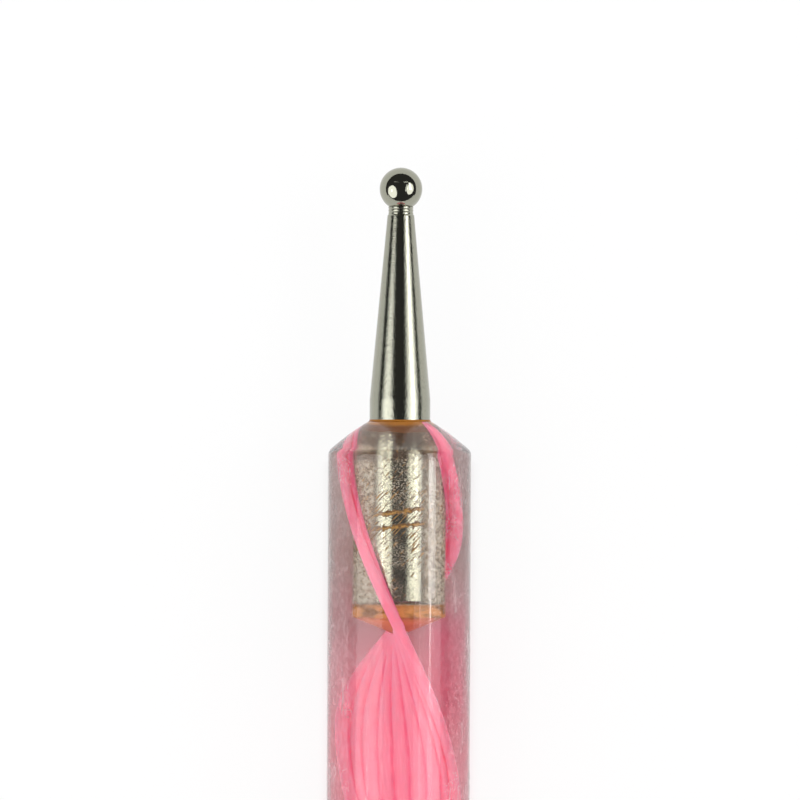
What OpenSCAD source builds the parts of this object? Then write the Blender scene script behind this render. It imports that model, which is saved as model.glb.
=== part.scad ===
// Double-ended ball stylus for embossing and dotting: a clear cast handle with a
// twisted ribbon inside it, and a turned, plated ball tip glued into each end.
// It lies on a table along Y. The origin is under the middle of its length, on the
// table, and the larger ball points along +Y.

/* [Handle] */
// Outside diameter of the clear handle
handle_d = 8; // [7:0.1:12]
// Length of the handle between its two end faces
handle_len = 102; // [60:1:140]
// Length of the dome that each end is turned down to
nose_len = 1.65; // [0.8:0.05:2.4]
// Radius of that dome, seen from the side
nose_radius = 15; // [6:0.5:40]
// Width of the flat rim left round each bore
rim_w = 0.05; // [0.05:0.05:0.5]
// Radius that softens the edge between dome and barrel
edge_round = 0.5; // [0.1:0.05:0.6]

/* [Ribbon] */
// Width of the coloured ribbon, from edge to edge
ribbon_w = 4.8; // [4:0.1:5.6]
// Thickness of the ribbon over the crest of a rib
ribbon_t = 0.56; // [0.4:0.02:1]
// Depth of the valleys between the ribs, on each face
rib_depth = 0.12; // [0.05:0.01:0.16]
// Number of ribs side by side
rib_count = 9; // [5:1:11]
// Length of one full turn of the ribbon
ribbon_pitch = 32; // [24:1:60]
// Distance from the larger tip's end face to where the ribbon stands on edge
edge_on_at = 11.5; // [4:0.1:20]

/* [Shanks and bores] */
// Diameter of the tips' straight shank
shank_d = 3.4; // [2.6:0.1:3.8]
// Length of shank held inside the handle
shank_grip = 10.2; // [6:0.1:16]
// Length of straight shank that shows outside the handle
collar_len = 1.25; // [0.5:0.05:4]
// Chamfer on the buried end of the shank
shank_chamfer = 0.2; // [0.05:0.05:0.5]
// Thickness of the glue film between shank and bore
glue_film = 0.05; // [0.02:0.01:0.15]
// Depth of the glue pool under the shank, before the drill point
glue_pool = 0.7; // [0.2:0.1:2]
// Included angle of the drill point that ends each bore
drill_angle = 118; // [90:1:140]
// Height of the glue bead that stands proud at each mouth
bead_h = 0.12; // [0.05:0.01:0.3]

/* [Larger tip] */
// Diameter of the larger ball
large_ball_d = 2.4; // [1.8:0.1:4]
// Diameter of the neck under the larger ball
large_neck_d = 1.4; // [0.9:0.05:1.7]
// Length of the taper behind the larger ball
large_taper_len = 10.3; // [6:0.1:16]

/* [Smaller tip] */
// Diameter of the smaller ball
small_ball_d = 1.6; // [1.2:0.1:3]
// Diameter of the neck under the smaller ball
small_neck_d = 0.9; // [0.6:0.05:1.1]
// Length of the taper behind the smaller ball
small_taper_len = 10.3; // [6:0.1:16]

/* [Necks] */
// Length of each neck between its taper and its ball
neck_len = 0.5; // [0.3:0.05:1.2]
// Step in radius where each neck meets its taper
neck_step = 0.05; // [0.02:0.01:0.1]
// Depth of the turned grooves round each neck
groove_depth = 0.03; // [0.01:0.01:0.06]
// Width of one turned groove
groove_w = 0.07; // [0.04:0.01:0.08]

/* [Hidden] */
$fn = 96;

// How far a cutting shape runs past what it cuts
margin = 1;

handle_r = handle_d / 2;
shank_r = shank_d / 2;
bore_r = shank_r + glue_film;
face_r = bore_r + rim_w;
bore_depth = shank_grip + glue_pool;
drill_point = bore_r / tan(drill_angle / 2);

// How far a tip stands out of the handle, to the far side of its ball
large_reach = collar_len + large_taper_len + neck_len
            + flat_depth(large_ball_d, large_neck_d) + large_ball_d / 2;
small_reach = collar_len + small_taper_len + neck_len
            + flat_depth(small_ball_d, small_neck_d) + small_ball_d / 2;
overall_len = small_reach + handle_len + large_reach;
large_mouth = overall_len / 2 - large_reach;
small_mouth = small_reach - overall_len / 2;

// Ribbon: turn for each millimetre, and the angle it starts from at the small end
turn_per_mm = 360 / ribbon_pitch;
ribbon_len = handle_len + 2 * margin;
start_angle = 90 + (large_mouth - edge_on_at - small_mouth + margin) * turn_per_mm;
slice_turn = 15;
ribbon_slices = ceil(ribbon_len * turn_per_mm / slice_turn);

// Steps in each half-round edge of the ribbon
edge_steps = 4;

// Grooves round a neck: share of the neck's length, counted from the ball
groove_shares = [0.3, 0.62];

clear_tint = [0.93, 0.84, 0.85, 0.45];
ribbon_pink = [0.98, 0.50, 0.60];
nickel = [0.80, 0.79, 0.74];
amber = [0.80, 0.52, 0.24];

// Distance from a ball's centre to the flat where the neck is welded on
function flat_depth(ball_d, neck_d) = sqrt(pow(ball_d / 2, 2) - pow(neck_d / 2, 2));

// Points of an arc about c with radius r, from angle a to angle b in n steps
function arc(c, r, a, b, n) = [for (i = [0:n]) c + r * [cos(a + (b - a) * i / n), sin(a + (b - a) * i / n)]];

// The handle's half outline at one end, from the barrel in to the rim, with the end
// face at height 0. The dome runs between the rim and the corner of the barrel, and
// the edge is an arc tangent to the barrel and to the dome.
function nose_outline() =
    let (across = handle_r - face_r,
         chord = norm([across, nose_len]),
         rise = sqrt(pow(nose_radius, 2) - pow(chord / 2, 2)),
         dome = [(handle_r + face_r) / 2, -nose_len / 2] - rise / chord * [nose_len, across],
         edge_x = handle_r - edge_round,
         edge = [edge_x, dome[1] + sqrt(pow(nose_radius - edge_round, 2) - pow(edge_x - dome[0], 2))],
         meet = atan2(edge[1] - dome[1], edge[0] - dome[0]),
         rim = atan2(-dome[1], face_r - dome[0]))
    concat(arc(edge, edge_round, 0, meet, 3), arc(dome, nose_radius, meet, rim, 6));

// Stands children on the end face of the larger tip's end, pointing out of the handle
module at_large_end() {
    translate([0, 0, large_mouth]) children();
}

// Stands children on the end face of the smaller tip's end, pointing out of the handle
module at_small_end() {
    translate([0, 0, small_mouth]) rotate([180, 0, 0]) children();
}

// Lays what is built along Z down on the table, along Y
module lay_down() {
    translate([0, 0, handle_r]) rotate([-90, 0, 0]) children();
}

// The handle's outside, with a dome at each end
module handle_blank() {
    top = nose_outline();
    rotate_extrude() polygon(concat(
        [[0, small_mouth]],
        [for (i = [len(top) - 1:-1:0]) [top[i][0], small_mouth - top[i][1]]],
        [for (p = top) [p[0], large_mouth + p[1]]],
        [[0, large_mouth]]));
}

// A blind bore with its drill point, cut down from the end face
module bore() {
    rotate_extrude() polygon([
        [0, -bore_depth - drill_point], [bore_r, -bore_depth],
        [bore_r, margin], [0, margin]]);
}

module both_bores() {
    at_large_end() bore();
    at_small_end() bore();
}

// The ribbon's cross-section: ribs side by side, crests and valleys on both faces. The
// outer ribs end in the ribbon's two edges, which are half round.
module ribbon_section() {
    crest = ribbon_t / 2;
    valley = crest - rib_depth;
    edge_x = ribbon_w / 2 - crest;
    steps = 2 * (rib_count - 1);
    face = [for (i = [1:steps - 1]) [(2 * i / steps - 1) * edge_x, i % 2 == 0 ? crest : valley]];
    polygon(concat(
        arc([edge_x, 0], crest, -90, 90, edge_steps),
        [for (i = [len(face) - 1:-1:0]) face[i]],
        arc([-edge_x, 0], crest, 90, 270, edge_steps),
        [for (p = face) [p[0], -p[1]]]));
}

// The twisted ribbon, a margin longer than the handle at each end
module ribbon_run() {
    translate([0, 0, small_mouth - margin])
        rotate([0, 0, start_angle])
        linear_extrude(height = ribbon_len, twist = ribbon_len * turn_per_mm,
                       slices = ribbon_slices, $fn = 8)
        ribbon_section();
}

module clear_handle() {
    color(clear_tint) lay_down() difference() {
        handle_blank();
        both_bores();
        ribbon_run();
    }
}

// The ribbon is trimmed by the domes, and the bores have drilled its middle away
module swirl_ribbon() {
    color(ribbon_pink) lay_down() difference() {
        intersection() {
            ribbon_run();
            handle_blank();
        }
        both_bores();
    }
}

// A turned tip without its ball: shank, taper, and a grooved neck with a flat end
module stem(taper_len, neck_d) {
    neck_r = neck_d / 2;
    taper_end = collar_len + taper_len;
    tip = taper_end + neck_len;
    grooves = [for (s = groove_shares, k = [1, 0, -1])
        [neck_r - (k == 0 ? groove_depth : 0), tip - s * neck_len - k * groove_w / 2]];
    rows = len(grooves);
    rotate_extrude() polygon(concat(
        [[0, -shank_grip], [shank_r - shank_chamfer, -shank_grip],
         [shank_r, -shank_grip + shank_chamfer], [shank_r, collar_len],
         [neck_r + neck_step, taper_end], [neck_r, taper_end]],
        [for (i = [rows - 1:-1:0]) grooves[i]],
        [[neck_r, tip], [0, tip]]));
}

// A ball with the flat that its neck is welded to
module ball(ball_d, taper_len, neck_d) {
    flat_at = collar_len + taper_len + neck_len;
    depth = flat_depth(ball_d, neck_d);
    translate([0, 0, flat_at + depth]) difference() {
        sphere(d = ball_d);
        translate([0, 0, -depth - ball_d / 2]) cube(ball_d, center = true);
    }
}

// One end's glue: bead at the mouth, film along the shank and pool in the drill point
module glue() {
    bead = [for (a = [0:22.5:90])
        [face_r - (face_r - shank_r) * cos(a), bead_h * (1 - sin(a))]];
    rotate_extrude() polygon(concat(
        [[0, -bore_depth - drill_point], [bore_r, -bore_depth], [bore_r, 0], [face_r, 0]],
        [for (i = [len(bead) - 1:-1:0]) bead[i]],
        [[shank_r, -shank_grip + shank_chamfer],
         [shank_r - shank_chamfer, -shank_grip], [0, -shank_grip]]));
}

module large_ball() {
    color(nickel) lay_down() at_large_end() ball(large_ball_d, large_taper_len, large_neck_d);
}

module large_ball_stem() {
    color(nickel) lay_down() at_large_end() stem(large_taper_len, large_neck_d);
}

module large_end_glue() {
    color(amber) lay_down() at_large_end() glue();
}

module small_ball() {
    color(nickel) lay_down() at_small_end() ball(small_ball_d, small_taper_len, small_neck_d);
}

module small_ball_stem() {
    color(nickel) lay_down() at_small_end() stem(small_taper_len, small_neck_d);
}

module small_end_glue() {
    color(amber) lay_down() at_small_end() glue();
}

clear_handle();
swirl_ribbon();
large_ball();
large_ball_stem();
large_end_glue();
small_ball();
small_ball_stem();
small_end_glue();
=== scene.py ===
"""Double-ended ball stylus: a clear rod round a twisted ribbon, with a turned ball tip in each end.

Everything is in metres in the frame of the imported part. The tool lies on the floor along Y,
with its larger ball towards +Y, and every turned piece is round about one line along Y.
"""

import logging
import math
from dataclasses import dataclass, replace
from enum import Enum
from functools import partial, reduce

import bmesh
import bpy
import numpy as np
from mathutils import Matrix, Vector


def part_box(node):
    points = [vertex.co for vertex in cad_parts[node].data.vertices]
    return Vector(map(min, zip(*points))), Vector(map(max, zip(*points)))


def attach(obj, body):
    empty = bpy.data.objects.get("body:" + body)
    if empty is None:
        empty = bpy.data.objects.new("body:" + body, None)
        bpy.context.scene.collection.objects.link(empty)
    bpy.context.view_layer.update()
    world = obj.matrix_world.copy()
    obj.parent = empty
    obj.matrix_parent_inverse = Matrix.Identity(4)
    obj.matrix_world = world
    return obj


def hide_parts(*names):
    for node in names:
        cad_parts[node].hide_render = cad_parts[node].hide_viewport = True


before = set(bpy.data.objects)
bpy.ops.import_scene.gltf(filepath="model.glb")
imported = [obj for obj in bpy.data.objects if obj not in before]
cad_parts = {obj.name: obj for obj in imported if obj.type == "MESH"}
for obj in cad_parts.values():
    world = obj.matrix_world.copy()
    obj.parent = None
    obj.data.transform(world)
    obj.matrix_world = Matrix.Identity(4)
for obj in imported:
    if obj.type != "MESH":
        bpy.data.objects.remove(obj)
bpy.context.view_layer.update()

LOG = logging.getLogger("stylus")
MM = 0.001
SKIN_GAP = 0.005 * MM
RIM = 0.05 * MM
GLUE_FILM = 0.05 * MM
DRILL_ANGLE = 118.0
EDGE_ON_AT = 11.5 * MM
LARGE_NECK = 0.7 * MM
SMALL_NECK = 0.45 * MM
PATCH_SCALE = 420.0
NOISE_MIDDLE = 0.5

Colour = tuple[float, float, float]
WHITE: Colour = (1.0, 1.0, 1.0)


def half_width(node: str) -> float:
    """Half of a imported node's width across the tool."""
    low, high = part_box(node)
    return (high[0] - low[0]) / 2


class End(Enum):
    """The two ends of the tool, each with the way it points along Y."""

    LARGE = 1
    SMALL = -1

    def node(self, piece: str) -> str:
        """The name of this end's node, piece or finish of a kind."""
        return f"{self.name.lower()}_{piece}"

    def stop(self, piece: str, outer: bool) -> float:
        """Where this end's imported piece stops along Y, on its outer or its inner side."""
        low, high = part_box(self.node(piece))
        return high[1] if outer == (self is End.LARGE) else low[1]


# Shapes worked out as whole arrays


def arc(centre: tuple[float, float], radius: float, start: float, stop: float, steps: int) -> np.ndarray:
    """Points of an arc in the plane of depth and radius.

    The formula is centre plus radius times (cosine, sine) of an even run of angles.

    Args:
        centre: The arc's centre as (along, out).
        radius: The arc's radius.
        start: First angle in degrees, counted from the along direction.
        stop: Last angle in degrees.
        steps: Number of equal steps.

    Returns:
        An array of (along, out) rows.
    """
    angle = np.radians(np.linspace(start, stop, steps + 1))
    return np.stack([centre[0] + radius * np.cos(angle), centre[1] + radius * np.sin(angle)], axis=1)


def softened(corners: np.ndarray, radius: float, steps: int = 4) -> np.ndarray:
    """Rounds every inner corner of an outline with a short curve.

    Each corner becomes a quadratic curve from a point before it to a point after it, each at
    the given radius or at a third of the shorter side next to it, whichever is less.

    Args:
        corners: The outline's (along, out) rows.
        radius: Distance from a corner at which its curve starts and ends.
        steps: Number of steps in each curve.

    Returns:
        The rounded outline's rows.
    """
    before, here, after = corners[:-2], corners[1:-1], corners[2:]
    back, ahead = before - here, after - here
    back_length = np.linalg.norm(back, axis=1, keepdims=True)
    ahead_length = np.linalg.norm(ahead, axis=1, keepdims=True)
    reach = np.minimum(radius, np.minimum(back_length, ahead_length) / 3)
    first = here + back / back_length * reach
    last = here + ahead / ahead_length * reach
    share = np.linspace(0, 1, steps + 1)[None, :, None]
    middle = 2 * share * (1 - share) * here[:, None]
    curve = (1 - share) ** 2 * first[:, None] + middle + share**2 * last[:, None]
    return np.concatenate([corners[:1], curve.reshape(-1, 2), corners[-1:]])


@dataclass(frozen=True)
class ToolAxis:
    """The line along Y, at one height, that every turned piece is round about."""

    height: float

    def around(self, along: np.ndarray, out: np.ndarray, angle: np.ndarray) -> np.ndarray:
        """Places points by their distance along the line, out from it, and angle from straight up.

        Args:
            along: Place along Y.
            out: Distance from the line.
            angle: Angle from +Z towards +X, in radians.

        Returns:
            Points as an array whose last axis is (x, y, z).
        """
        along, out, angle = np.broadcast_arrays(along, out, angle)
        return np.stack([out * np.sin(angle), along, self.height + out * np.cos(angle)], axis=-1)


def mesh_object(name: str, points: np.ndarray, faces: list) -> bpy.types.Object:
    """Makes an object at the origin from points and faces, with its faces pointing outwards.

    Args:
        name: The object's name.
        points: Rows of (x, y, z).
        faces: Lists of point numbers.

    Returns:
        The new object, linked to the scene.
    """
    mesh = bpy.data.meshes.new(name)
    mesh.from_pydata(points.tolist(), [], faces)
    shape = bmesh.new()
    shape.from_mesh(mesh)
    bmesh.ops.recalc_face_normals(shape, faces=shape.faces)
    shape.to_mesh(mesh)
    shape.free()
    made = bpy.data.objects.new(name, mesh)
    bpy.context.scene.collection.objects.link(made)
    return made


def smooth(piece: bpy.types.Object, crease: float) -> None:
    """Shades a piece smooth, with edges sharper than the crease angle in degrees left sharp.

    Args:
        piece: The object.
        crease: The angle in degrees.
    """
    piece.data.shade_smooth()
    piece.data.set_sharp_from_angle(angle=math.radians(crease))


def revolve(name: str, axis: ToolAxis, outline: np.ndarray, segments: int) -> bpy.types.Object:
    """Turns an outline about the tool's line into a closed shell.

    A point of the surface is the outline's point k carried to angle 2 pi j / segments. The
    outline starts and ends on the line, where the shell closes on one point.

    Args:
        name: The object's name.
        axis: The line to turn about.
        outline: Rows of (y, radius), from the line round to the line.
        segments: Number of steps round the line.

    Returns:
        The object. Its faces run in rings, in the outline's order.
    """
    rings = outline[1:-1]
    angle = np.linspace(0, 2 * np.pi, segments, endpoint=False)
    body = axis.around(rings[:, :1], rings[:, 1:], angle[None, :]).reshape(-1, 3)
    ends = axis.around(outline[[0, -1], 0], np.zeros(2), np.zeros(2))
    first, last = len(body), len(body) + 1
    here = np.arange(segments)
    step = np.roll(here, -1)
    row = np.arange(len(rings) - 1)[:, None] * segments
    quads = np.stack([row + here, row + step, row + segments + step, row + segments + here], axis=-1)
    top = (len(rings) - 1) * segments
    start_fan = np.stack([np.full(segments, first), step, here], axis=-1)
    end_fan = np.stack([np.full(segments, last), top + here, top + step], axis=-1)
    faces = start_fan.tolist() + quads.reshape(-1, 4).tolist() + end_fan.tolist()
    return mesh_object(name, np.concatenate([body, ends]), faces)


def ring_material(piece: bpy.types.Object, segments: int, rings: slice, slot: int) -> None:
    """Gives a revolved shell's rings of faces one of its materials.

    Args:
        piece: A shell made by revolve.
        segments: The number of steps it was made with.
        rings: The rings of faces, counted along the outline.
        slot: The material slot's number.
    """
    numbers = np.zeros(len(piece.data.polygons), dtype=np.int32)
    piece.data.polygons.foreach_get("material_index", numbers)
    numbers.reshape(-1, segments)[rings] = slot
    piece.data.polygons.foreach_set("material_index", numbers)


# Shader tools


@dataclass(frozen=True)
class Signal:
    """A value that changes over a surface, with plain arithmetic on it."""

    canvas: "Canvas"
    socket: bpy.types.NodeSocket

    def math(self, operation: str, *values: object, clamp: bool = False) -> "Signal":
        """Adds a math node on this signal and the other values."""
        inputs = dict(enumerate((self, *values)))
        return self.canvas.signal("ShaderNodeMath", 0, inputs, operation=operation, use_clamp=clamp)

    def __add__(self, other: object) -> "Signal":
        """This signal and another value together."""
        return self.math("ADD", other)

    def __sub__(self, other: object) -> "Signal":
        """This signal less another value."""
        return self.math("SUBTRACT", other)

    def __rsub__(self, number: float) -> "Signal":
        """A number less this signal."""
        return self.canvas.signal("ShaderNodeMath", 0, {0: number, 1: self}, operation="SUBTRACT")

    def __mul__(self, other: object) -> "Signal":
        """This signal times another value."""
        return self.math("MULTIPLY", other)

    def __abs__(self) -> "Signal":
        """This signal without its sign."""
        return self.math("ABSOLUTE")

    def most(self, *others: object) -> "Signal":
        """The largest of this signal and the other values."""
        return reduce(lambda first, other: first.math("MAXIMUM", other), others, self)

    def clamped(self, gain: float = 1.0) -> "Signal":
        """This signal times a gain, held between 0 and 1."""
        return self.math("MULTIPLY", gain, clamp=True)

    def ramp(self, low: float, high: float) -> "Signal":
        """Rises smoothly from 0 at low to 1 at high, or falls where low is above high."""
        inputs = {"Value": self, "From Min": low, "From Max": high}
        return self.canvas.signal("ShaderNodeMapRange", "Result", inputs, interpolation_type="SMOOTHSTEP")


class Canvas:
    """The node tree of a material, a world or a group, with short ways to add to it."""

    def __init__(self, owner: bpy.types.ID) -> None:
        """Keeps the owner and its tree, and empties the tree."""
        self.owner = owner
        self.tree = owner if isinstance(owner, bpy.types.NodeTree) else owner.node_tree
        self.tree.nodes.clear()

    def add(self, kind: str, inputs: dict | None = None, **settings: object) -> bpy.types.Node:
        """Adds a node.

        Args:
            kind: The node's type.
            inputs: Socket names or numbers, each with what join puts there.
            **settings: The node's own properties.

        Returns:
            The node.
        """
        node = self.tree.nodes.new(kind)
        for name, value in settings.items():
            setattr(node, name, value)
        for name, value in (inputs or {}).items():
            self.join(value, node.inputs[name])
        return node

    def join(self, value: object, socket: bpy.types.NodeSocket) -> None:
        """Joins a signal or a node's first output to a socket, or sets its plain value or colour.

        Args:
            value: A signal, a node, a number, a vector or a colour of three numbers.
            socket: The input socket that takes it.
        """
        if isinstance(value, Signal):
            self.tree.links.new(value.socket, socket)
        elif isinstance(value, bpy.types.Node):
            self.tree.links.new(value.outputs[0], socket)
        else:
            socket.default_value = (*value, 1.0) if socket.type == "RGBA" else value

    def outputs(self, kind: str, inputs: dict | None = None, **settings: object) -> dict[str, Signal]:
        """Adds a node and returns all its outputs by name."""
        node = self.add(kind, inputs, **settings)
        return {socket.name: Signal(self, socket) for socket in node.outputs}

    def signal(self, kind: str, output: str | int, inputs: dict | None = None, **settings: object) -> Signal:
        """Adds a node and returns one of its outputs."""
        return Signal(self, self.add(kind, inputs, **settings).outputs[output])

    def place(self) -> Signal:
        """The place on the object."""
        return self.signal("ShaderNodeTexCoord", "Object")

    def axes(self, place: Signal) -> tuple[Signal, Signal, Signal]:
        """A place's X, Y and Z."""
        return tuple(self.outputs("ShaderNodeSeparateXYZ", {0: place}).values())

    def stretched(self, place: object, scale: tuple) -> Signal:
        """Scales a place by a factor for each direction."""
        return self.signal("ShaderNodeMapping", 0, {"Vector": place, "Scale": scale})

    def noise(self, place: object, scale: object, detail: float = 2.0) -> Signal:
        """Adds a noise texture and returns its value."""
        return self.signal("ShaderNodeTexNoise", "Fac", {"Vector": place, "Scale": scale, "Detail": detail})

    def blend(self, share: Signal, first: object, second: object) -> Signal:
        """Mixes two colours by a share from 0 to 1."""
        return self.signal("ShaderNodeMix", 2, {"Factor": share, 6: first, 7: second}, data_type="RGBA")

    def rays(self, *kinds: str) -> Signal:
        """A mask of the rays of the named kinds.

        Args:
            *kinds: Light Path's names for them, such as Camera or Shadow.

        Returns:
            A signal that is 1 for those rays and 0 for others.
        """
        path = self.outputs("ShaderNodeLightPath")
        first, *others = (path[f"Is {kind} Ray"] for kind in kinds)
        return first.most(*others)

    def bump(self, height: Signal, strength: float, distance: float) -> bpy.types.Node:
        """Turns a height into a bumped normal."""
        return self.add("ShaderNodeBump", {"Height": height, "Strength": strength, "Distance": distance})

    def mix(self, share: Signal, first: bpy.types.Node, second: bpy.types.Node) -> bpy.types.Node:
        """Mixes two shaders by a share from 0 to 1."""
        return self.add("ShaderNodeMixShader", {0: share, 1: first, 2: second})

    def finish(self, shader: bpy.types.Node, kind: str = "ShaderNodeOutputMaterial") -> bpy.types.ID:
        """Ends the tree in a shader and returns the tree's owner."""
        self.add(kind, {"Surface": shader})
        return self.owner


def new_material(name: str) -> Canvas:
    """Makes a material and returns its empty canvas.

    Args:
        name: The material's name.

    Returns:
        The canvas, which keeps the material as its owner.
    """
    material = bpy.data.materials.new(name)
    material.use_nodes = True
    return Canvas(material)


def new_group(name: str, inputs: dict, outputs: tuple[str, ...]) -> tuple[Canvas, dict[str, Signal]]:
    """Makes a shader node group with named sockets.

    Args:
        name: The group's name.
        inputs: Names of input sockets, each with its socket type and default value.
        outputs: Names of output sockets, which are all numbers.

    Returns:
        The group's canvas, and its inputs by name.
    """
    canvas = Canvas(bpy.data.node_groups.new(name, "ShaderNodeTree"))
    for socket_name, (kind, value) in inputs.items():
        socket = canvas.tree.interface.new_socket(socket_name, in_out="INPUT", socket_type=kind)
        if value is not None:
            socket.default_value = value
    for socket_name in outputs:
        canvas.tree.interface.new_socket(socket_name, in_out="OUTPUT", socket_type="NodeSocketFloat")
    return canvas, canvas.outputs("NodeGroupInput")


def wear_group() -> bpy.types.NodeTree:
    """Fine scuffs that run along Y, with dust specks, curved hair scratches and a fine haze.

    Scuffs and specks are the peaks of noises, thicker in some patches. Hairs follow the line
    where a slow noise crosses its middle.

    Returns:
        A group that takes Place, the scales and the amounts, and puts out Scuffs, Specks,
        Hairs, Haze and Height.
    """
    inputs = {
        "Place": ("NodeSocketVector", None),
        "Scuff Scale": ("NodeSocketFloat", 3000.0),
        "Speck Scale": ("NodeSocketFloat", 9000.0),
        "Scuff Amount": ("NodeSocketFloat", 0.5),
        "Speck Amount": ("NodeSocketFloat", 0.5),
    }
    outputs = ("Scuffs", "Specks", "Hairs", "Haze", "Height")
    canvas, given = new_group("Wear", inputs, outputs)
    place = given["Place"]
    patches = canvas.noise(place, PATCH_SCALE, 3.0)
    lines = canvas.noise(canvas.stretched(place, (1.0, 0.10, 1.0)), given["Scuff Scale"])
    scuffs = (lines - (0.70 - given["Scuff Amount"] * 0.2)).clamped(8.0) * patches.ramp(0.40, 0.60)
    dots = canvas.noise(place, given["Speck Scale"], 1.0)
    specks = (dots - (0.74 - given["Speck Amount"] * 0.2)).clamped(9.0) * patches.ramp(0.36, 0.60)
    bent = canvas.noise(canvas.stretched(place, (1.0, 0.35, 1.0)), 1100.0, 0.0)
    hairs = abs(bent - NOISE_MIDDLE).ramp(0.014, 0.004) * patches.ramp(0.55, 0.62)
    fine = canvas.noise(canvas.stretched(place, (1.0, 0.6, 1.0)), given["Speck Scale"] * 0.5, 3.0)
    made = (scuffs, specks, hairs, fine.ramp(0.49, 0.57), scuffs + specks + hairs)
    canvas.add("NodeGroupOutput", dict(zip(outputs, made)))
    return canvas.owner


# Finishes


@dataclass(frozen=True)
class AcrylicFinish:
    """Clear cast rod: faintly pink, hazed by handling, with fine scuffs, hairs and dust, and painted shade
    on its flanks.
    """

    mouth: float
    edge_on: float
    pitch: float
    name: str = "clear_acrylic"
    tint: Colour = (0.94, 0.93, 0.925)
    # Painted shade: the flanks take this darker tint, except where the haze lies.
    cloud_and_shade_tint: Colour = (0.66, 0.63, 0.62)
    # The next five colours tint the lamps' light where it enters the rod's underside: a grey painted shadow
    # beside the metal, and painted pink light from the ribbon, on the floor seen through the rod.
    metal_shadow_tint: Colour = (0.50, 0.31, 0.29)
    right_metal_shadow_tint: Colour = (0.465, 0.26, 0.255)
    edge_on_ribbon_light: Colour = (0.445, 0.18, 0.20)
    flat_ribbon_light: Colour = (0.78, 0.265, 0.345)
    ribbon_glow: Colour = (0.66, 0.105, 0.205)
    metal_depth: tuple[float, float] = (7.5 * MM, 12.5 * MM)
    clearness: float = 0.985
    index: float = 1.49
    roughness: float = 0.012
    scuff_roughness: float = 0.35
    scuff_amount: float = 0.9
    speck_amount: float = 1.0
    speck_scale: float = 11500.0
    hair_share: float = 0.75
    scratch_depth: float = 0.006 * MM
    dust_roughness: float = 0.6
    dust_index: float = 2.2
    dust_share: float = 0.85
    haze_share: float = 0.7
    flank: float = 3.1 * MM
    top_wear: float = 0.25
    # These place the painted pink glow on the floor under the rod's right side.
    glow_side: tuple[float, float] = (0.45 * MM, 0.68 * MM)
    glow_middle: float = -2.2 * MM
    glow_length: tuple[float, float] = (1.5 * MM, 6.0 * MM)
    glow_share: float = 0.8

    def material(self, wear: bpy.types.NodeTree) -> bpy.types.Material:
        """Builds the acrylic, which passes the lamps' light on to what it holds.

        Hands have worn the rod's flanks more than its top. The flanks are also painted darker, as
        painted shade broken by a fine haze. Dust and scratches are a rough coat that lies only
        where they are.

        Args:
            wear: The group of scuffs and specks.

        Returns:
            The material.
        """
        canvas = new_material(self.name)
        place = canvas.place()
        x, along, _ = canvas.axes(place)
        beside = abs(x).ramp(self.flank * 0.55, self.flank)
        share = beside * (1.0 - self.top_wear) + self.top_wear
        amounts = {
            "Scuff Amount": self.scuff_amount,
            "Speck Amount": self.speck_amount,
            "Speck Scale": self.speck_scale,
        }
        marks = canvas.outputs("ShaderNodeGroup", {"Place": place, **amounts}, node_tree=wear)
        worn = marks["Scuffs"].most(marks["Specks"], marks["Hairs"] * self.hair_share) * share
        haze = marks["Haze"] * beside
        glass = canvas.add(
            "ShaderNodeBsdfPrincipled",
            {
                "Base Color": canvas.blend(beside - haze, self.tint, self.cloud_and_shade_tint),
                "Roughness": worn * self.scuff_roughness + self.roughness,
                "IOR": self.index,
                "Transmission Weight": self.clearness,
                "Normal": canvas.bump(marks["Height"] * share.most(0.6), 0.35, self.scratch_depth),
                "Coat Weight": (haze * self.haze_share + worn * self.dust_share).clamped(),
                "Coat Roughness": self.dust_roughness,
                "Coat IOR": self.dust_index,
            },
        )
        leaving = canvas.signal("ShaderNodeNewGeometry", "Backfacing")
        passed = canvas.blend(leaving, self.lamp_tint(canvas, x, along), WHITE)
        through = canvas.add("ShaderNodeBsdfTransparent", {"Color": passed})
        return canvas.finish(canvas.mix(canvas.rays("Shadow", "Diffuse"), glass, through))

    def lamp_tint(self, canvas: Canvas, x: Signal, along: Signal) -> Signal:
        """Tints the light that leaves the rod below, as painted light and painted shadow on the floor
        under the rod, placed along the tool rather than cast.

        It is pinkest where the ribbon lies flat, standing in for the light that the rod gathers
        through the ribbon there, and beside the ribbon's lower edge, and a grey painted shadow
        beside the metal.

        Args:
            canvas: The material's canvas.
            x: Place across the tool.
            along: Place along the tool.

        Returns:
            The tint.
        """
        past_edge_on = along - self.edge_on
        turn = past_edge_on * (2 * math.pi / self.pitch)
        flatness = abs(turn.math("SINE")).math("POWER", 0.9)
        to_right = x.ramp(*self.glow_side)
        glow = abs(past_edge_on - self.glow_middle).ramp(*reversed(self.glow_length)) * to_right
        ribbon_light_tint = canvas.blend(flatness, self.edge_on_ribbon_light, self.flat_ribbon_light)
        ribbon_light_tint = canvas.blend(glow * self.glow_share, ribbon_light_tint, self.ribbon_glow)
        metal_shadow = canvas.blend(to_right, self.metal_shadow_tint, self.right_metal_shadow_tint)
        clear_of_metal = (self.mouth - abs(along)).ramp(*self.metal_depth)
        return canvas.blend(clear_of_metal, metal_shadow, ribbon_light_tint)


@dataclass(frozen=True)
class WettedFinish:
    """The bore's wall where glue wets it, so that light passes without a bend."""

    name: str = "wetted_bore"

    def material(self) -> bpy.types.Material:
        """Builds a wall that is clear to every ray."""
        canvas = new_material(self.name)
        return canvas.finish(canvas.add("ShaderNodeBsdfTransparent"))


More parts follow.
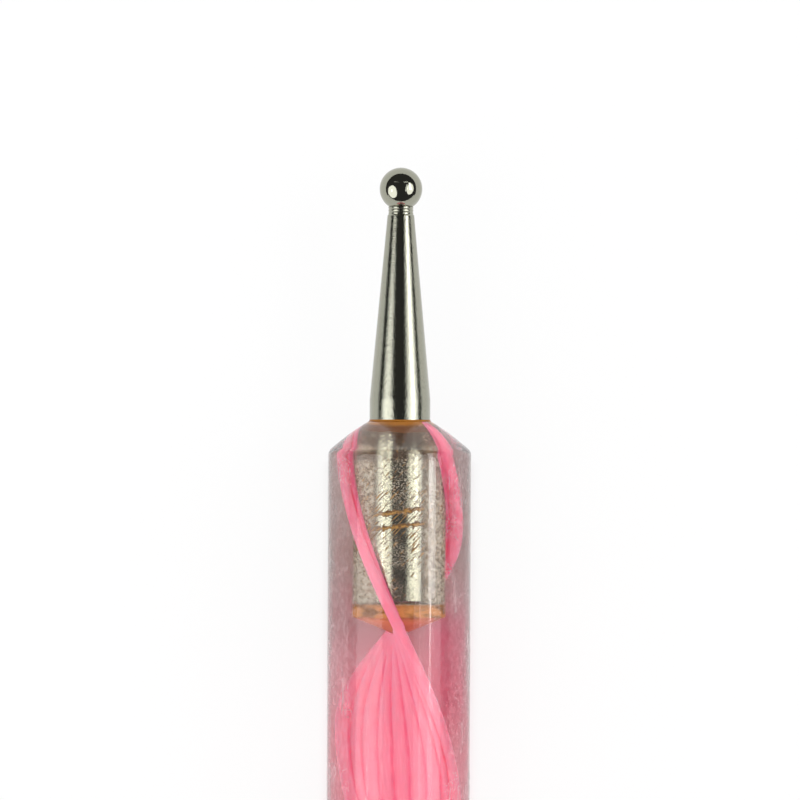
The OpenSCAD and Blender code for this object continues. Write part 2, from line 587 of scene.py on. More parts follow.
@dataclass(frozen=True)
class RibbonFinish:
    """Pink plastic with faint streaks along it, darker in the valleys between its ribs and beside the bores:
    painted shade.
    """

    name: str = "pink_ribbon"
    crest: Colour = (0.965, 0.25, 0.352)
    valley: Colour = (0.93, 0.13, 0.25)
    streak: Colour = (1.0, 0.35, 0.45)
    lamp_tint: Colour = (0.80, 0.10, 0.20)
    glow_depth: float = 0.35 * MM
    glow: Colour = (1.0, 0.30, 0.38)
    roughness: float = 0.6
    glow_weight: float = 0.65
    streak_share: float = 0.55
    streak_shrink: float = 60.0
    streak_scale: float = 14.0

    def material(self) -> bpy.types.Material:
        """Builds the plastic from the mesh's own attributes: place across it, and rise of its ribs with
        painted shade.

        Returns:
            The material.
        """
        canvas = new_material(self.name)
        across = canvas.signal("ShaderNodeAttribute", "Fac", attribute_name="across")
        rise = canvas.signal("ShaderNodeAttribute", "Fac", attribute_name="rise")
        along = canvas.axes(canvas.place())[1]
        lane = canvas.add("ShaderNodeCombineXYZ", {"X": across, "Y": along * self.streak_shrink})
        streaks = canvas.noise(lane, self.streak_scale).ramp(0.45, 0.75)
        # Painted shade: a low rise, in the valleys and beside the bores, takes the darker valley colour.
        colour = canvas.blend(rise.ramp(0.05, 0.75), self.valley, self.crest)
        plastic = canvas.add(
            "ShaderNodeBsdfPrincipled",
            {
                "Base Color": canvas.blend(streaks * self.streak_share, colour, self.streak),
                "Roughness": self.roughness,
                "Specular IOR Level": 0.0,
                "Subsurface Weight": self.glow_weight,
                "Subsurface Radius": self.glow,
                "Subsurface Scale": self.glow_depth,
            },
        )
        through = canvas.add("ShaderNodeBsdfTransparent", {"Color": self.lamp_tint})
        return canvas.finish(canvas.mix(canvas.rays("Shadow"), plastic, through))


@dataclass(frozen=True)
class NickelFinish:
    """Bright plate over turned steel, with rings left by the lathe and small pits."""

    name: str
    mouth: float
    inward: int
    colour: Colour = (0.362, 0.362, 0.295)
    lit_buried_colour: Colour = (0.47, 0.46, 0.35)
    pit: Colour = (0.17, 0.165, 0.13)
    roughness: float = 0.09
    pit_roughness: float = 0.10
    grain_height: float = 0.010 * MM
    grain_scale: float = 13000.0
    buried_grain: float = -0.45
    ring_share: float = 0.25
    ring_squeeze: float = 16.0
    ring_scale: float = 420.0
    chatter_share: float = 0.4
    chatter_scale: float = 4200.0
    pit_share: float = 0.4
    pit_gain: float = 12.0

    def material(self) -> bpy.types.Material:
        """Builds the plate. The lathe's rings change quickly along Y and slowly round it.

        The shank, which the glue holds, is smoother than the part that shows, and painted lighter
        and yellower; its lighter colour is painted light that brightens its reflections through the rod.

        Returns:
            The material.
        """
        canvas = new_material(self.name)
        place = canvas.place()
        depth = (canvas.axes(place)[1] - self.mouth) * self.inward
        buried = depth.ramp(-0.05 * MM, 0.15 * MM)
        rings = canvas.noise(canvas.stretched(place, (1.0, self.ring_squeeze, 1.0)), self.ring_scale, 3.0)
        chatter = canvas.noise(place, self.chatter_scale)
        grain = canvas.noise(place, self.grain_scale)
        pits = (grain - (buried * -0.01 + 0.61)).clamped(self.pit_gain) * self.pit_share
        relief = chatter * self.chatter_share + rings * self.ring_share + grain
        relief = relief * (buried * self.buried_grain + 1.0)
        # Painted light: the buried shank's lighter plate brightens its reflections through the rod.
        plate = canvas.blend(buried, self.colour, self.lit_buried_colour)
        metal = canvas.add(
            "ShaderNodeBsdfPrincipled",
            {
                "Base Color": canvas.blend(pits, plate, self.pit),
                "Metallic": 1.0,
                "Roughness": pits * self.pit_roughness + self.roughness,
                "Normal": canvas.bump(relief, 1.0, self.grain_height),
            },
        )
        return canvas.finish(metal)


@dataclass(frozen=True)
class GlueFinish:
    """Set amber glue: deep in the mouth and the drill point, smeared and frothy between."""

    name: str
    axis: ToolAxis
    mouth: float
    inward: int
    grip: float
    deep: Colour = (0.23, 0.085, 0.020)
    pale: Colour = (0.62, 0.245, 0.066)
    pool_core: Colour = (0.66, 0.215, 0.095)
    stain: Colour = (0.17, 0.078, 0.024)
    smeared: Colour = (0.46, 0.235, 0.055)
    mouth_amber: Colour = (0.38, 0.145, 0.022)
    veil: Colour = (0.16, 0.066, 0.028)
    film: Colour = (0.76, 0.66, 0.52)
    rust: Colour = (0.43, 0.28, 0.165)
    froth: Colour = (0.66, 0.57, 0.45)
    grime: Colour = (0.10, 0.080, 0.050)
    mouth_depth: float = 0.92 * MM
    veil_depth: float = 2.6 * MM
    film_radius: float = 1.72 * MM
    smear_depths: tuple[float, float] = (5.0 * MM, 5.8 * MM)
    smear_slant: float = 0.16
    smear_wander: float = 0.55 * MM
    stroke_slant: float = 1.2
    stroke_scale: float = 2300.0
    stroke_gain: float = 22.0
    stroke_edge: float = 0.05
    mottle_scale: float = 1300.0
    fine_scale: float = 5200.0
    bubble_scale: float = 14000.0
    stain_cover: float = 0.9
    foam_cover: float = 0.6
    dirt_cover: float = 0.15
    cloud_cover: float = 0.5
    veil_cover: float = 0.5
    roughness: float = 0.22
    gloss: float = 0.12
    relief: float = 0.03 * MM

    def material(self) -> bpy.types.Material:
        """Builds the glue. It is opaque where it lies deep, and clear where the film is thin.

        The smears and strokes are drawn on the film as if it were unrolled flat. The colours
        lie over each other in layers, each with the share of it that shows.

        Returns:
            The material.
        """
        canvas = new_material(self.name)
        place = canvas.place()
        x, along, z = canvas.axes(place)
        depth = (along - self.mouth) * self.inward
        round_way = x.math("ARCTAN2", z - self.axis.height) * self.film_radius
        mottle = canvas.noise(canvas.stretched(place, (1.0, 2.2, 1.0)), self.mottle_scale, 4.0)
        fine = canvas.noise(place, self.fine_scale, 3.0)
        patch = canvas.noise(place, PATCH_SCALE)
        dots = canvas.noise(place, self.bubble_scale)
        wander = mottle * (0.5 * MM) + depth
        at_mouth = wander.ramp(self.mouth_depth + 0.45 * MM, self.mouth_depth + 0.15 * MM)
        solid = at_mouth.most(depth.ramp(self.grip - 0.15 * MM, self.grip + 0.05 * MM))
        inside = 1.0 - solid
        smear, smear_edge = self.smears(depth, round_way, fine)
        stroke, stroke_edge = self.strokes(canvas, depth, round_way)
        stained = smear_edge.most(stroke_edge)
        aside = abs(round_way).ramp(0.9 * MM, 1.4 * MM)
        near_pool = aside * depth.ramp(self.grip - 3.2 * MM, self.grip - 0.8 * MM)
        foam = (near_pool * 0.075 + dots).ramp(0.565, 0.625) * patch.ramp(0.34, 0.58) * inside
        dirt = dots.ramp(0.43, 0.35) * patch.ramp(0.66, 0.44) * inside
        clouded = aside * patch.ramp(0.22, 0.44)
        veiled = depth.ramp(self.veil_depth, self.mouth_depth) * fine.ramp(0.30, 0.62)
        cover = solid.most(
            stained * self.stain_cover,
            foam * self.foam_cover,
            dirt * self.dirt_cover,
            clouded * self.cloud_cover,
            veiled * self.veil_cover,
        )
        shank_end = (fine * (0.4 * MM) + depth).ramp(self.grip + 0.5 * MM, self.grip + 0.2 * MM)
        past_shank = (fine * (0.5 * MM) + depth).ramp(self.grip + 0.75 * MM, self.grip + 1.25 * MM)
        filmed = canvas.blend(fine.ramp(0.55, 0.47), self.film, self.rust)
        layers = (
            (shank_end * 0.5, self.deep),
            (at_mouth, canvas.blend(wander.ramp(0.40 * MM, 0.80 * MM), self.mouth_amber, self.veil)),
            (past_shank * 0.9, self.pool_core),
            (inside, canvas.blend(veiled.ramp(0.0, 0.3), filmed, self.veil)),
            (stained * inside, self.stain),
            (smear.most(stroke) * inside, self.smeared),
            (foam * 0.8, self.froth),
            (dirt * 0.7, self.grime),
        )
        colour = canvas.blend(mottle.ramp(0.36, 0.60), self.deep, self.pale)
        for share, layer in layers:
            colour = canvas.blend(share, colour, layer)
        glue = canvas.add(
            "ShaderNodeBsdfPrincipled",
            {
                "Base Color": colour,
                "Roughness": self.roughness,
                "Specular IOR Level": self.gloss,
                "Alpha": cover,
                "Normal": canvas.bump(mottle, 0.5, self.relief),
            },
        )
        return canvas.finish(glue)

    def smears(self, depth: Signal, round_way: Signal, fine: Signal) -> tuple[Signal, Signal]:
        """Draws the two long smears that run round the shank.

        Args:
            depth: Depth below the mouth.
            round_way: Way round the film, from its top.
            fine: A fine noise that makes their edges uneven.

        Returns:
            Masks of the smears' lit middles and of the smears with their dark edges.
        """
        level = (fine - NOISE_MIDDLE) * self.smear_wander + (round_way * self.smear_slant + depth)
        first, second = (abs(level - smear_depth) for smear_depth in self.smear_depths)
        gap = first.math("MINIMUM", second)
        on_top = abs(round_way).ramp(1.6 * MM, 0.9 * MM)
        middle = gap.ramp(0.09 * MM, 0.04 * MM) * on_top * fine.ramp(0.56, 0.48)
        return middle, gap.ramp(0.15 * MM, 0.10 * MM) * on_top

    def strokes(self, canvas: Canvas, depth: Signal, round_way: Signal) -> tuple[Signal, Signal]:
        """Draws the many short slanted strokes between the smears and beyond them.

        Args:
            canvas: The material's canvas.
            depth: Depth below the mouth.
            round_way: Way round the film, from its top.

        Returns:
            Masks of the strokes' lit middles and of the strokes with their dark edges.
        """
        slanted = round_way * self.stroke_slant + depth
        flat = canvas.add("ShaderNodeCombineXYZ", {"X": round_way, "Y": slanted})
        lines = canvas.noise(canvas.stretched(flat, (1.0, 3.6, 1.0)), self.stroke_scale)
        away = abs(depth - sum(self.smear_depths) / 2)
        over = lines - (away.ramp(0.8 * MM, 4.2 * MM) * 0.08 + 0.574)
        return (over - self.stroke_edge).clamped(self.stroke_gain), over.clamped(self.stroke_gain)


# The tool's own sub-assemblies


@dataclass
class Bore:
    """A blind drilled hole in one end of the handle, with the drill's point at its bottom."""

    mouth: float
    end: End
    radius: float
    depth: float
    point: float

    def at(self, depth: float | np.ndarray) -> float | np.ndarray:
        """Place along Y of a depth below the mouth."""
        return self.mouth - self.end.value * depth

    def radius_at(self, along: np.ndarray) -> np.ndarray:
        """The hole's radius at places along Y: full, then narrowing to nothing at the point.

        Args:
            along: Places along Y.

        Returns:
            The radius at each, or 0 outside the hole.
        """
        depth = (self.mouth - along) * self.end.value
        inside = np.interp(depth, [0, self.depth, self.depth + self.point], [self.radius, self.radius, 0])
        return np.where(depth < -SKIN_GAP, 0.0, inside)


@dataclass
class Handle:
    """The clear rod, domed at both ends and drilled from both."""

    axis: ToolAxis
    radius: float
    bores: tuple[Bore, Bore]
    rim: float = RIM
    nose_length: float = 1.65 * MM
    nose_radius: float = 15.0 * MM
    edge_round: float = 0.5 * MM
    guard: float = 0.05 * MM
    dome_steps: int = 24
    edge_steps: int = 12
    wall_rings: int = 2
    segments: int = 256

    def nose(self) -> np.ndarray:
        """Works out the outline of one end, from the rim out to the barrel.

        The dome is an arc through the rim and the barrel's corner, and the corner is an arc
        tangent to the dome and to the barrel. A last ring just past it, on the barrel, keeps
        the barrel's shading straight.

        Returns:
            Rows of (depth below the mouth, radius).
        """
        face = self.bores[0].radius + self.rim
        across = self.radius - face
        chord = math.hypot(across, self.nose_length)
        rise = math.sqrt(self.nose_radius**2 - (chord / 2) ** 2)
        dome = (
            (self.radius + face) / 2 - rise / chord * self.nose_length,
            -self.nose_length / 2 - rise / chord * across,
        )
        edge_out = self.radius - self.edge_round
        reach = self.nose_radius - self.edge_round
        edge = (edge_out, dome[1] + math.sqrt(reach**2 - (edge_out - dome[0]) ** 2))
        meet = math.degrees(math.atan2(edge[1] - dome[1], edge[0] - dome[0]))
        rim = math.degrees(math.atan2(-dome[1], face - dome[0]))
        rows = np.concatenate(
            [
                arc(dome, self.nose_radius, rim, meet, self.dome_steps),
                arc(edge, self.edge_round, meet, 0, self.edge_steps)[1:],
                [[self.radius, edge[1] - self.guard]],
            ]
        )
        return np.stack([-rows[:, 1], rows[:, 0]], axis=1)

    def outline(self) -> np.ndarray:
        """Works out the whole outline, from the bottom of one bore round to the other's.

        Returns:
            Rows of (y, radius), in which each bore takes wall_rings rings of faces.
        """
        nose = self.nose()
        halves = []
        for bore in self.bores:
            wall = np.array([[bore.depth + bore.point, 0.0], [bore.depth, bore.radius], [0.0, bore.radius]])
            half = np.concatenate([wall, nose])
            half[:, 0] = bore.at(half[:, 0])
            halves.append(half)
        return np.concatenate([halves[0], halves[1][::-1]])

    def radius_at(self, along: np.ndarray) -> np.ndarray:
        """The rod's outer radius at places along Y.

        Args:
            along: Places along Y.

        Returns:
            The radius at each.
        """
        nose = self.nose()
        nearest = np.min([np.abs(bore.mouth - along) for bore in self.bores], axis=0)
        return np.interp(nearest, nose[:, 0], nose[:, 1])

    def build(self, wear: bpy.types.NodeTree, edge_on: float, pitch: float) -> bpy.types.Object:
        """Makes the rod and dresses its outside and its bores.

        Args:
            wear: The group of scuffs and specks.
            edge_on: A place along Y where the ribbon stands on edge.
            pitch: The length of one full turn of the ribbon.

        Returns:
            The rod's object.
        """
        rod = revolve("clear_rod", self.axis, self.outline(), self.segments)
        finish = AcrylicFinish(self.bores[1].mouth, edge_on, pitch)
        rod.data.materials.append(finish.material(wear))
        rod.data.materials.append(WettedFinish().material())
        for rings in (slice(0, self.wall_rings), slice(-self.wall_rings, None)):
            ring_material(rod, self.segments, rings, 1)
        smooth(rod, 20)
        return rod


@dataclass
class Ribbon:
    """The ribbed pink strip, twisted to the left along the rod and drilled away at both ends.

    The valleys are places across the strip, in millimetres. The ribs between them aren't quite
    even, and the outer two end in half-round edges.
    """

    axis: ToolAxis
    handle: Handle
    half_width: float
    edge_on: float
    pitch: float = 32.0 * MM
    thickness: float = 0.56 * MM
    rib_depth: float = 0.12 * MM
    valleys: tuple[float, ...] = (-1.96, -1.63, -1.06, -0.42, 0.21, 0.78, 1.38, 1.83)
    # How far from the bore the painted shade reaches: for the half below the shank, and the one above.
    bore_shade: tuple[float, float] = (1.2 * MM, 0.35 * MM)
    apex_share: float = 0.4
    apex_rise: float = 0.8
    rib_power: float = 0.8
    row_step: float = 0.25 * MM
    face_points: int = 44
    edge_points: int = 9
    wall_points: int = 5

    def rows(self) -> np.ndarray:
        """Places along Y of the sections, one of them on each change in the bores.

        Returns:
            The places, from the smaller end to the larger.
        """
        stops = []
        for bore in self.handle.bores:
            depths = (0.0, self.handle.nose_length, bore.depth, bore.depth + bore.point)
            stops += [bore.at(depth) for depth in depths]
        stops.sort()
        runs = [
            np.linspace(low, high, max(2, round((high - low) / self.row_step)), endpoint=False)
            for low, high in zip(stops[:-1], stops[1:])
        ]
        return np.concatenate([*runs, stops[-1:]])

    def bore_radius(self, rows: np.ndarray) -> np.ndarray:
        """The radius of the bore at places along Y, or 0 where there is none."""
        return np.max([bore.radius_at(rows) for bore in self.handle.bores], axis=0)

    def turn(self, rows: np.ndarray) -> np.ndarray:
        """The strip's turn from standing on edge at places along Y, in radians."""
        return 2 * np.pi * (rows - self.edge_on) / self.pitch

    def ribs(self, across: np.ndarray) -> np.ndarray:
        """How far up a rib a point lies, from 0 in a valley to 1 on a crest.

        It is a rounded sine whose phase grows by pi from each valley to the next, and which
        stays on the crest past the middle of an outer rib.

        Args:
            across: Places across the strip.

        Returns:
            The share of the rib's height at each place.
        """
        edge = self.half_width - self.thickness / 2
        places = np.array([-edge, *(np.array(self.valleys) * MM), edge])
        turns = np.array([-0.5, *range(len(self.valleys)), len(self.valleys) - 0.5])
        return np.abs(np.sin(np.pi * np.interp(across, places, turns))) ** self.rib_power

    def half_thickness(self, across: np.ndarray) -> np.ndarray:
        """Half the strip's thickness at places across it."""
        return self.thickness / 2 - self.rib_depth * (1 - self.ribs(across))

    def section(self, rows: np.ndarray, side: int) -> tuple[np.ndarray, np.ndarray, np.ndarray, int]:
        """Works out one half of the cross-section at every row.

        The top face runs out from the bore's wall, or from the middle where no bore is, to
        the rounded edge, the bottom face runs back, and a few points close it along the bore.
        The ribs' rise fades beside a bore, more on the half that passes below the shank, and
        evens out where the strip stands on edge. The rise sets the plastic's colour, so the fade
        beside a bore is painted shade.

        Args:
            rows: Places along Y.
            side: Which half it is, 1 or -1.

        Returns:
            Distances from the middle, distances above the middle plane, the ribs' rise, and
            the number of points on the two faces together.
        """
        bore = self.bore_radius(rows)[:, None]
        thick = self.half_thickness(side * bore)
        inner = np.sqrt(np.maximum(bore**2 - thick**2, 0))
        limit = self.handle.radius_at(rows)[:, None] - 2 * SKIN_GAP
        outer = np.minimum(self.half_width, np.sqrt(limit**2 - (self.thickness / 2) ** 2))
        outer = np.maximum(outer, inner + 4 * SKIN_GAP)
        corner = np.minimum(self.thickness / 2, 0.6 * (outer - inner))
        share = np.linspace(0, 1, self.face_points)[None, :]
        flat = inner + (outer - corner - inner) * share
        turn = np.radians(np.linspace(0, 90, self.edge_points))[None, 1:]
        bend = outer - corner + corner * np.sin(turn)
        out = np.concatenate([flat, bend], axis=1)
        fall = np.concatenate([np.ones_like(flat), np.broadcast_to(np.cos(turn), bend.shape)], axis=1)
        rise = self.ribs(side * out)
        high = self.half_thickness(side * out) * fall
        # Painted shade: the rise, which sets the plastic's colour, fades towards the bore.
        shade = self.bore_shade[0] if side > 0 else self.bore_shade[1]
        rise = np.where(bore > SKIN_GAP, rise * np.clip((out - bore) / shade, 0, 1), rise)
        spread = np.abs(np.sin(self.turn(rows)))[:, None]
        pinched = np.where(bore > SKIN_GAP, 0, 1 - np.clip(spread / self.apex_share, 0, 1))
        rise = rise + (self.apex_rise - rise) * pinched
        low_out, low_high, low_rise = out[:, -2::-1], -high[:, -2::-1], rise[:, -2::-1]
        wall_high = high[:, :1] * np.linspace(-1, 1, self.wall_points)[None, 1:-1]
        wall_out = np.sqrt(np.maximum(bore**2 - wall_high**2, 0))
        faces = out.shape[1] + low_out.shape[1]
        return (
            np.concatenate([out, low_out, wall_out], axis=1),
            np.concatenate([high, low_high, wall_high], axis=1),
            np.concatenate([rise, low_rise, np.zeros_like(wall_out)], axis=1),
            faces,
        )

    def place(self, rows: np.ndarray, out: np.ndarray, high: np.ndarray) -> np.ndarray:
        """Carries sections along the rod, each turned a little further than the last.

        Args:
            rows: Places along Y.
            out: Distances from the middle, to the right when the strip lies flat.
            high: Distances above the middle plane.

        Returns:
            Points as an array whose last axis is (x, y, z).
        """
        turn = (np.pi / 2 - self.turn(rows))[:, None]
        across = out * np.cos(turn) + high * np.sin(turn)
        up = -out * np.sin(turn) + high * np.cos(turn)
        along = np.broadcast_to(rows[:, None], out.shape)
        return np.stack([across, along, self.axis.height + up], axis=-1)

    def build(self) -> bpy.types.Object:
        """Makes the strip from two mirrored halves, joined down the middle where no bore is.

        Returns:
            The strip's object, with its place across and its ribs' rise as attributes.
        """
        rows = self.rows()
        bored = self.bore_radius(rows) > SKIN_GAP
        points, quads, caps, across, rises = [], [], [], [], []
        for half, side in enumerate((1, -1)):
            out, high, rise, faces_across = self.section(rows, side)
            count, loop = out.shape
            base = half * count * loop
            points.append(self.place(rows, out * side, high).reshape(-1, 3))
            across.append((out * side).ravel())
            rises.append(rise.ravel())
            row = np.arange(count - 1)[:, None] * loop + base
            column = np.arange(loop)[None, :]
            after = np.roll(column, -1, axis=1)
            grid = np.stack([row + column, row + after, row + loop + after, row + loop + column], axis=-1)
            is_wall = column >= faces_across - 1
            keep = ~is_wall | (bored[:-1] | bored[1:])[:, None]
            quads += grid[keep].tolist()
            caps += [list(range(start, start + loop)) for start in (base, base + (count - 1) * loop)]
        strip = mesh_object("swirl_strip", np.concatenate(points), quads + caps)
        for name, values in (("across", np.concatenate(across) / MM), ("rise", np.concatenate(rises))):
            strip.data.attributes.new(name, "FLOAT", "POINT").data.foreach_set("value", values)
        self.weld(strip)
        strip.data.materials.append(RibbonFinish().material())
        smooth(strip, 50)
        return strip

    def weld(self, strip: bpy.types.Object) -> None:
        """Joins the two halves down the middle and turns every face outwards.

        Args:
            strip: The strip's object, which is changed in place.
        """
        shape = bmesh.new()
        shape.from_mesh(strip.data)
        loose = [point for point in shape.verts if not point.link_faces]
        bmesh.ops.delete(shape, geom=loose, context="VERTS")
        bmesh.ops.remove_doubles(shape, verts=shape.verts, dist=0.2 * SKIN_GAP)
        bmesh.ops.recalc_face_normals(shape, faces=shape.faces)
        shape.to_mesh(strip.data)
        shape.free()


@dataclass
class Tip:
    """One turned tip: a ball on a grooved neck, a long taper, a collar and a buried shank."""

    axis: ToolAxis
    end: End
    bore: Bore
    shank: float
    ball: float
    far: float
    grip: float
    neck: float
    taper_length: float = 10.3 * MM
    collar_length: float = 1.25 * MM
    neck_length: float = 0.5 * MM
    neck_step: float = 0.05 * MM
    groove_depth: float = 0.03 * MM
    groove_width: float = 0.07 * MM
    groove_shares: tuple[float, float] = (0.3, 0.62)
    chamfer: float = 0.2 * MM
    bead: float = 0.12 * MM
    rim: float = RIM
    corner: float = 0.06 * MM
    ball_steps: int = 56
    bead_points: int = 9
    segments: int = 128

    def outwards(self, rows: np.ndarray) -> np.ndarray:
        """Turns rows of (distance out of the mouth, radius) into rows of (y, radius)."""
        return np.stack([self.bore.at(-rows[:, 0]), rows[:, 1]], axis=1)

    def stem_outline(self) -> np.ndarray:
        """Works out the stem, from its buried end to the flat that carries the ball.

        Returns:
            Rows of (y, radius), with softened corners.
        """
        taper_end = self.collar_length + self.taper_length
        top = taper_end + self.neck_length
        grooves = []
        for share in reversed(self.groove_shares):
            centre = top - share * self.neck_length
            grooves += [
                (centre - self.groove_width / 2, self.neck),
                (centre, self.neck - self.groove_depth),
                (centre + self.groove_width / 2, self.neck),
            ]
        rows = np.array(
            [
                (-self.grip, 0.0),
                (-self.grip, self.shank - self.chamfer),
                (-self.grip + self.chamfer, self.shank),
                (self.collar_length, self.shank),
                (taper_end, self.neck + self.neck_step),
                (taper_end + self.neck_step, self.neck),
                *grooves,
                (top, self.neck),
                (top, 0.0),
            ]
        )
        return self.outwards(softened(rows, self.corner))

    def ball_outline(self) -> np.ndarray:
        """Works out the ball, from the flat on the neck round to its far side.

        Returns:
            Rows of (y, radius).
        """
        centre = abs(self.far - self.bore.mouth) - self.ball
        flat = math.degrees(math.asin(self.neck / self.ball))
        rows = arc((centre, 0.0), self.ball, 180 - flat, 0, self.ball_steps)
        rows[-1, 1] = 0.0
        return self.outwards(np.concatenate([[[rows[0, 0], 0.0]], rows]))

    def glue_outline(self) -> np.ndarray:
        """Works out the glue: pool in the drill's point, film along the shank, bead at the mouth.

        Returns:
            Rows of (y, radius).
        """
        wall, core = self.bore.radius - SKIN_GAP, self.shank + SKIN_GAP
        face = self.bore.radius + self.rim
        turn = np.radians(np.linspace(90, 0, self.bead_points))
        bead = np.stack([self.bead * (1 - np.sin(turn)), face - (face - core) * np.cos(turn)], axis=1)
        down = -self.grip - SKIN_GAP
        bottom = -self.bore.depth - self.bore.point + 2 * SKIN_GAP
        rows = np.concatenate(
            [
                [(bottom, 0.0), (-self.bore.depth, wall), (SKIN_GAP, wall)],
                bead + [[SKIN_GAP, 0.0]],
                [(down + self.chamfer, core), (down, core - self.chamfer), (down, 0.0)],
            ]
        )
        return self.outwards(rows)

    def build(self) -> dict[str, bpy.types.Object]:
        """Makes and dresses the tip's three pieces.

        Returns:
            The CAD nodes' names, each with the piece that stands for it.
        """
        mouth, inward = self.bore.mouth, -self.end.value
        nickel = NickelFinish(self.end.node("stem_nickel"), mouth, inward)
        polish = replace(
            nickel,
            name=self.end.node("ball_nickel"),
            roughness=0.07,
            grain_height=0.0014 * MM,
            pit_share=0.2,
        )
        amber = GlueFinish(self.end.node("amber_glue"), self.axis, mouth, inward, self.grip)
        plan = (
            ("ball_stem", "stem", self.stem_outline(), nickel, 40),
            ("ball", "ball_bead", self.ball_outline(), polish, 60),
            ("end_glue", "glue_fill", self.glue_outline(), amber, 40),
        )
        pieces = {}
        for node, name, outline, finish, crease in plan:
            piece = revolve(self.end.node(name), self.axis, outline, self.segments)
            piece.data.materials.append(finish.material())
            smooth(piece, crease)
            pieces[self.end.node(node)] = piece
        return pieces


# Camera, lamps and floor


class Face(Enum):
    """The shape of a lamp's face, by Blender's name for it."""

    OVAL = "ELLIPSE"
    SQUARE = "RECTANGLE"


@dataclass(frozen=True)
class Softbox:
    """A lamp with a soft face, placed by its direction from the tool.

    Side is the angle from straight up towards +X, and lift the angle from there towards +Y.
    Width, height and roll are those of its face, as angles seen from the tool.
    """

    name: str
    side: float
    lift: float
    width: float
    height: float
    radiance: float
    roll: float = 0.0
    distance: float = 1.5
    face: Face = Face.OVAL
    mirrored: bool = True

    def build(self, target: Vector) -> None:
        """Makes the lamp, facing the target.

        Args:
            target: The point that it lights.
        """
        side, lift, roll = (math.radians(angle) for angle in (self.side, self.lift, self.roll))
        way = Vector((math.sin(side) * math.cos(lift), math.sin(lift), math.cos(side) * math.cos(lift)))
        lamp = bpy.data.lights.new(self.name, "AREA")
        lamp.shape = self.face.value
        lamp.size = 2 * self.distance * math.tan(math.radians(self.width / 2))
        lamp.size_y = 2 * self.distance * math.tan(math.radians(self.height / 2))
        area = lamp.size * lamp.size_y * (math.pi / 4 if self.face is Face.OVAL else 1.0)
        lamp.energy = self.radiance * math.pi * area
        made = bpy.data.objects.new(self.name, lamp)
        flat = Vector((0, 1, 0)).cross(way).normalized()
        tall = way.cross(flat)
        across = flat * math.cos(roll) + tall * math.sin(roll)
        made.matrix_world = Matrix((across, way.cross(across), way)).transposed().to_4x4()
        made.location = target + way * self.distance
        made.visible_glossy = self.mirrored
        made.visible_transmission = self.mirrored
        bpy.context.scene.collection.objects.link(made)


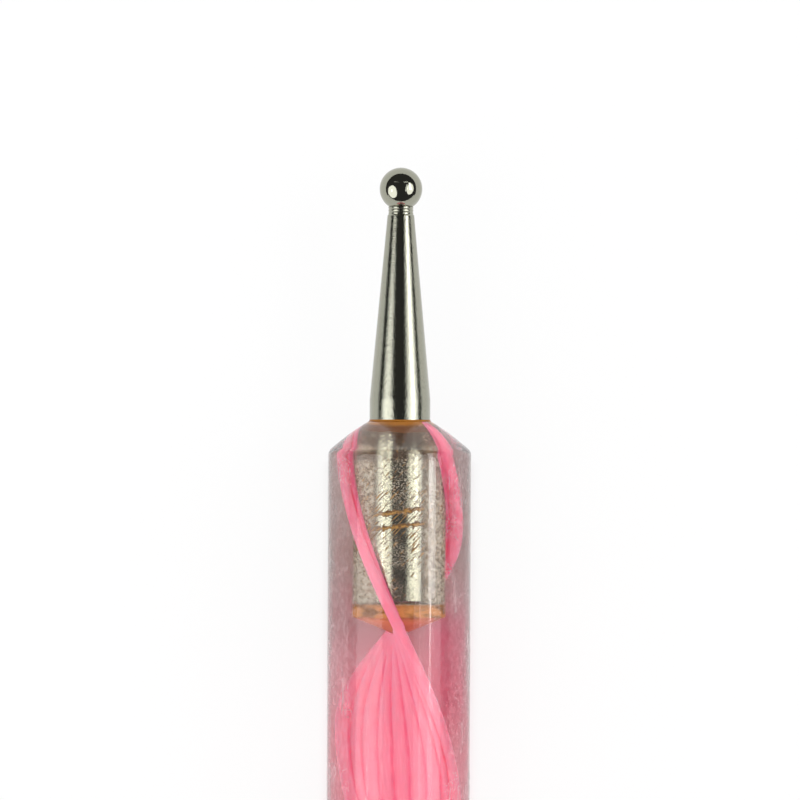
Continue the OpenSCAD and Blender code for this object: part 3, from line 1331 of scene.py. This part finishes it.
@dataclass(frozen=True)
class Studio:
    """The camera straight above the tool, a pale floor and soft lamps on both sides."""

    axis_height: float
    mouth: float
    rod_radius: float
    camera_distance: float = 0.40
    sensor_width: float = 36.0
    clip_start: float = 0.01
    view_width: float = 44.75 * MM
    mouth_below_centre: float = 1.22 * MM
    lean: float = 0.273
    floor_size: float = 6.0
    floor_colour: Colour = (0.97, 0.97, 0.97)
    glow_share: float = 0.9
    shadow_edge: float = 1.2 * MM
    shadow_fade: float = 1.8 * MM
    nose_length: float = 2.4 * MM
    nose_slope: float = 1.35
    card_distance: float = 1.4
    card_height: float = 0.46
    sky: float = 0.05

    def lamps(self) -> tuple[Softbox, ...]:
        """The lamps, as seen in the metal, and a soft one overhead that the metal doesn't show.

        Returns:
            The lamps, each placed as seen from the tool.
        """
        square = partial(Softbox, face=Face.SQUARE)
        near = partial(square, distance=1.4)
        return (
            Softbox("left_soft", -49.5, -15, 50, 62, 2.25),
            near("left_spark", -51.4, -9.1, 3.0, 10.6, 6.0),
            Softbox("right_soft", 52, -1, 38, 54, 2.2, roll=-14),
            Softbox("right_edge", 31, 4, 12, 40, 1.2, roll=-14, distance=1.6),
            near("right_core", 51.5, 13.7, 9.0, 31.6, 3.4),
            near("right_band", 54.5, -1.2, 12.0, 1.75, 6.0),
            near("right_line", 51.5, -2.55, 2.2, 1.05, 11.0),
            near("right_trail", 51.5, -3.6, 9.0, 1.2, 1.5),
            square("far_left_window", -30, 36, 24, 2.5, 0.7),
            square("far_right_window", 30, 36, 22, 2.5, 1.9),
            Softbox("overhead_fill", 0, 0, 70, 70, 1.2, mirrored=False),
        )

    def build(self) -> None:
        """Makes the camera, the floor, the lamps and the dark room above them."""
        scene = bpy.context.scene
        scene.view_settings.view_transform = "Standard"
        centre = Vector((0.0, self.mouth + self.mouth_below_centre, self.axis_height))
        camera = bpy.data.cameras.new("camera")
        camera.sensor_width = self.sensor_width
        camera.lens = camera.sensor_width * self.camera_distance / self.view_width
        camera.clip_start = self.clip_start
        viewer = bpy.data.objects.new("camera", camera)
        viewer.location = centre + Vector((0, 0, self.camera_distance))
        viewer.rotation_euler = (0.0, 0.0, math.radians(self.lean))
        scene.collection.objects.link(viewer)
        scene.camera = viewer
        self.floor()
        for lamp in self.lamps():
            lamp.build(centre)
        self.room()

    def floor(self) -> None:
        """Makes the pale floor that the tool lies on, and a low pale card at its near edge."""
        half, near, top = self.floor_size / 2, -self.card_distance, self.card_height
        paper = self.paper()
        front = [(-half, near, 0), (half, near, 0)]
        backs = {
            "floor": [(half, half, 0), (-half, half, 0)],
            "near_card": [(half, near, top), (-half, near, top)],
        }
        for name, back in backs.items():
            sheet = mesh_object(name, np.array(front + back), [[0, 1, 2, 3]])
            sheet.data.materials.append(paper)

    def paper(self) -> bpy.types.Material:
        """Builds the floor's white paper.

        Seen by the camera, in metal or through glass, it is lifted towards plain white, except
        right under the rod, and its shadow shows through what is left. The place under the rod
        narrows with its noses.

        Returns:
            The material.
        """
        canvas = new_material("pale_floor")
        x, y, _ = canvas.axes(canvas.place())
        edge = self.rod_radius - self.shadow_edge
        nose = (abs(y) - (self.mouth - self.nose_length)).most(0.0)
        beside = (nose * self.nose_slope + abs(x)).ramp(edge, edge + self.shadow_fade)
        share = beside * self.glow_share * canvas.rays("Camera", "Glossy", "Transmission")
        matt = canvas.add(
            "ShaderNodeBsdfPrincipled",
            {"Base Color": self.floor_colour, "Roughness": 0.9, "Specular IOR Level": 0.0},
        )
        white = canvas.add("ShaderNodeEmission", {"Strength": 1.0})
        return canvas.finish(canvas.mix(share, matt, white))

    def room(self) -> None:
        """Makes the room's dark upper half."""
        world = bpy.data.worlds.new("room")
        world.use_nodes = True
        canvas = Canvas(world)
        light = canvas.add("ShaderNodeBackground", {"Color": (self.sky, self.sky, self.sky)})
        bpy.context.scene.world = canvas.finish(light, "ShaderNodeOutputWorld")


class Stylus:
    """The whole tool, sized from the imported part."""

    def __init__(self) -> None:
        """Reads the pieces' boxes and works out the sub-assemblies' sizes from them."""
        low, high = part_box("clear_handle")
        self.axis = ToolAxis((low[2] + high[2]) / 2)
        self.large_bore = self.drilled(End.LARGE, high[1])
        self.small_bore = self.drilled(End.SMALL, low[1])
        self.handle = Handle(self.axis, (high[2] - low[2]) / 2, (self.small_bore, self.large_bore))
        edge_on = self.large_bore.at(EDGE_ON_AT)
        self.ribbon = Ribbon(self.axis, self.handle, half_width("swirl_ribbon"), edge_on)
        self.tips = (self.tip(self.large_bore, LARGE_NECK), self.tip(self.small_bore, SMALL_NECK))

    def drilled(self, end: End, mouth: float) -> Bore:
        """Sizes one bore from its glue and its stem.

        Args:
            end: Which end of the tool it is in.
            mouth: The end face's place along Y.

        Returns:
            The bore.
        """
        radius = half_width(end.node("ball_stem")) + GLUE_FILM
        point = radius / math.tan(math.radians(DRILL_ANGLE / 2))
        return Bore(mouth, end, radius, abs(mouth - end.stop("end_glue", outer=False)) - point, point)

    def tip(self, bore: Bore, neck: float) -> Tip:
        """Sizes one tip from its boxes.

        Args:
            bore: The bore that holds it.
            neck: The radius of its neck.

        Returns:
            The tip.
        """
        end = bore.end
        return Tip(
            axis=self.axis,
            end=end,
            bore=bore,
            shank=half_width(end.node("ball_stem")),
            ball=half_width(end.node("ball")),
            far=end.stop("ball", outer=True),
            grip=abs(bore.mouth - end.stop("ball_stem", outer=False)),
            neck=neck,
        )

    def build(self) -> dict[str, bpy.types.Object]:
        """Makes every piece.

        Returns:
            The CAD nodes' names, each with the piece that stands for it.
        """
        rod = self.handle.build(wear_group(), self.ribbon.edge_on, self.ribbon.pitch)
        pieces = {"clear_handle": rod, "swirl_ribbon": self.ribbon.build()}
        for tip in self.tips:
            pieces.update(tip.build())
        return pieces


def main() -> None:
    """Builds the tool and the studio, and says what each piece stands for."""
    logging.basicConfig(level=logging.INFO, format="%(name)s %(message)s")
    stylus = Stylus()
    Studio(stylus.axis.height, stylus.large_bore.mouth, stylus.handle.radius).build()
    for node, piece in stylus.build().items():
        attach(piece, "root")
        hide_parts(node)
        LOG.info("%s stands for %s with %d faces", piece.name, node, len(piece.data.polygons))


if __name__ == "__main__":
    main()
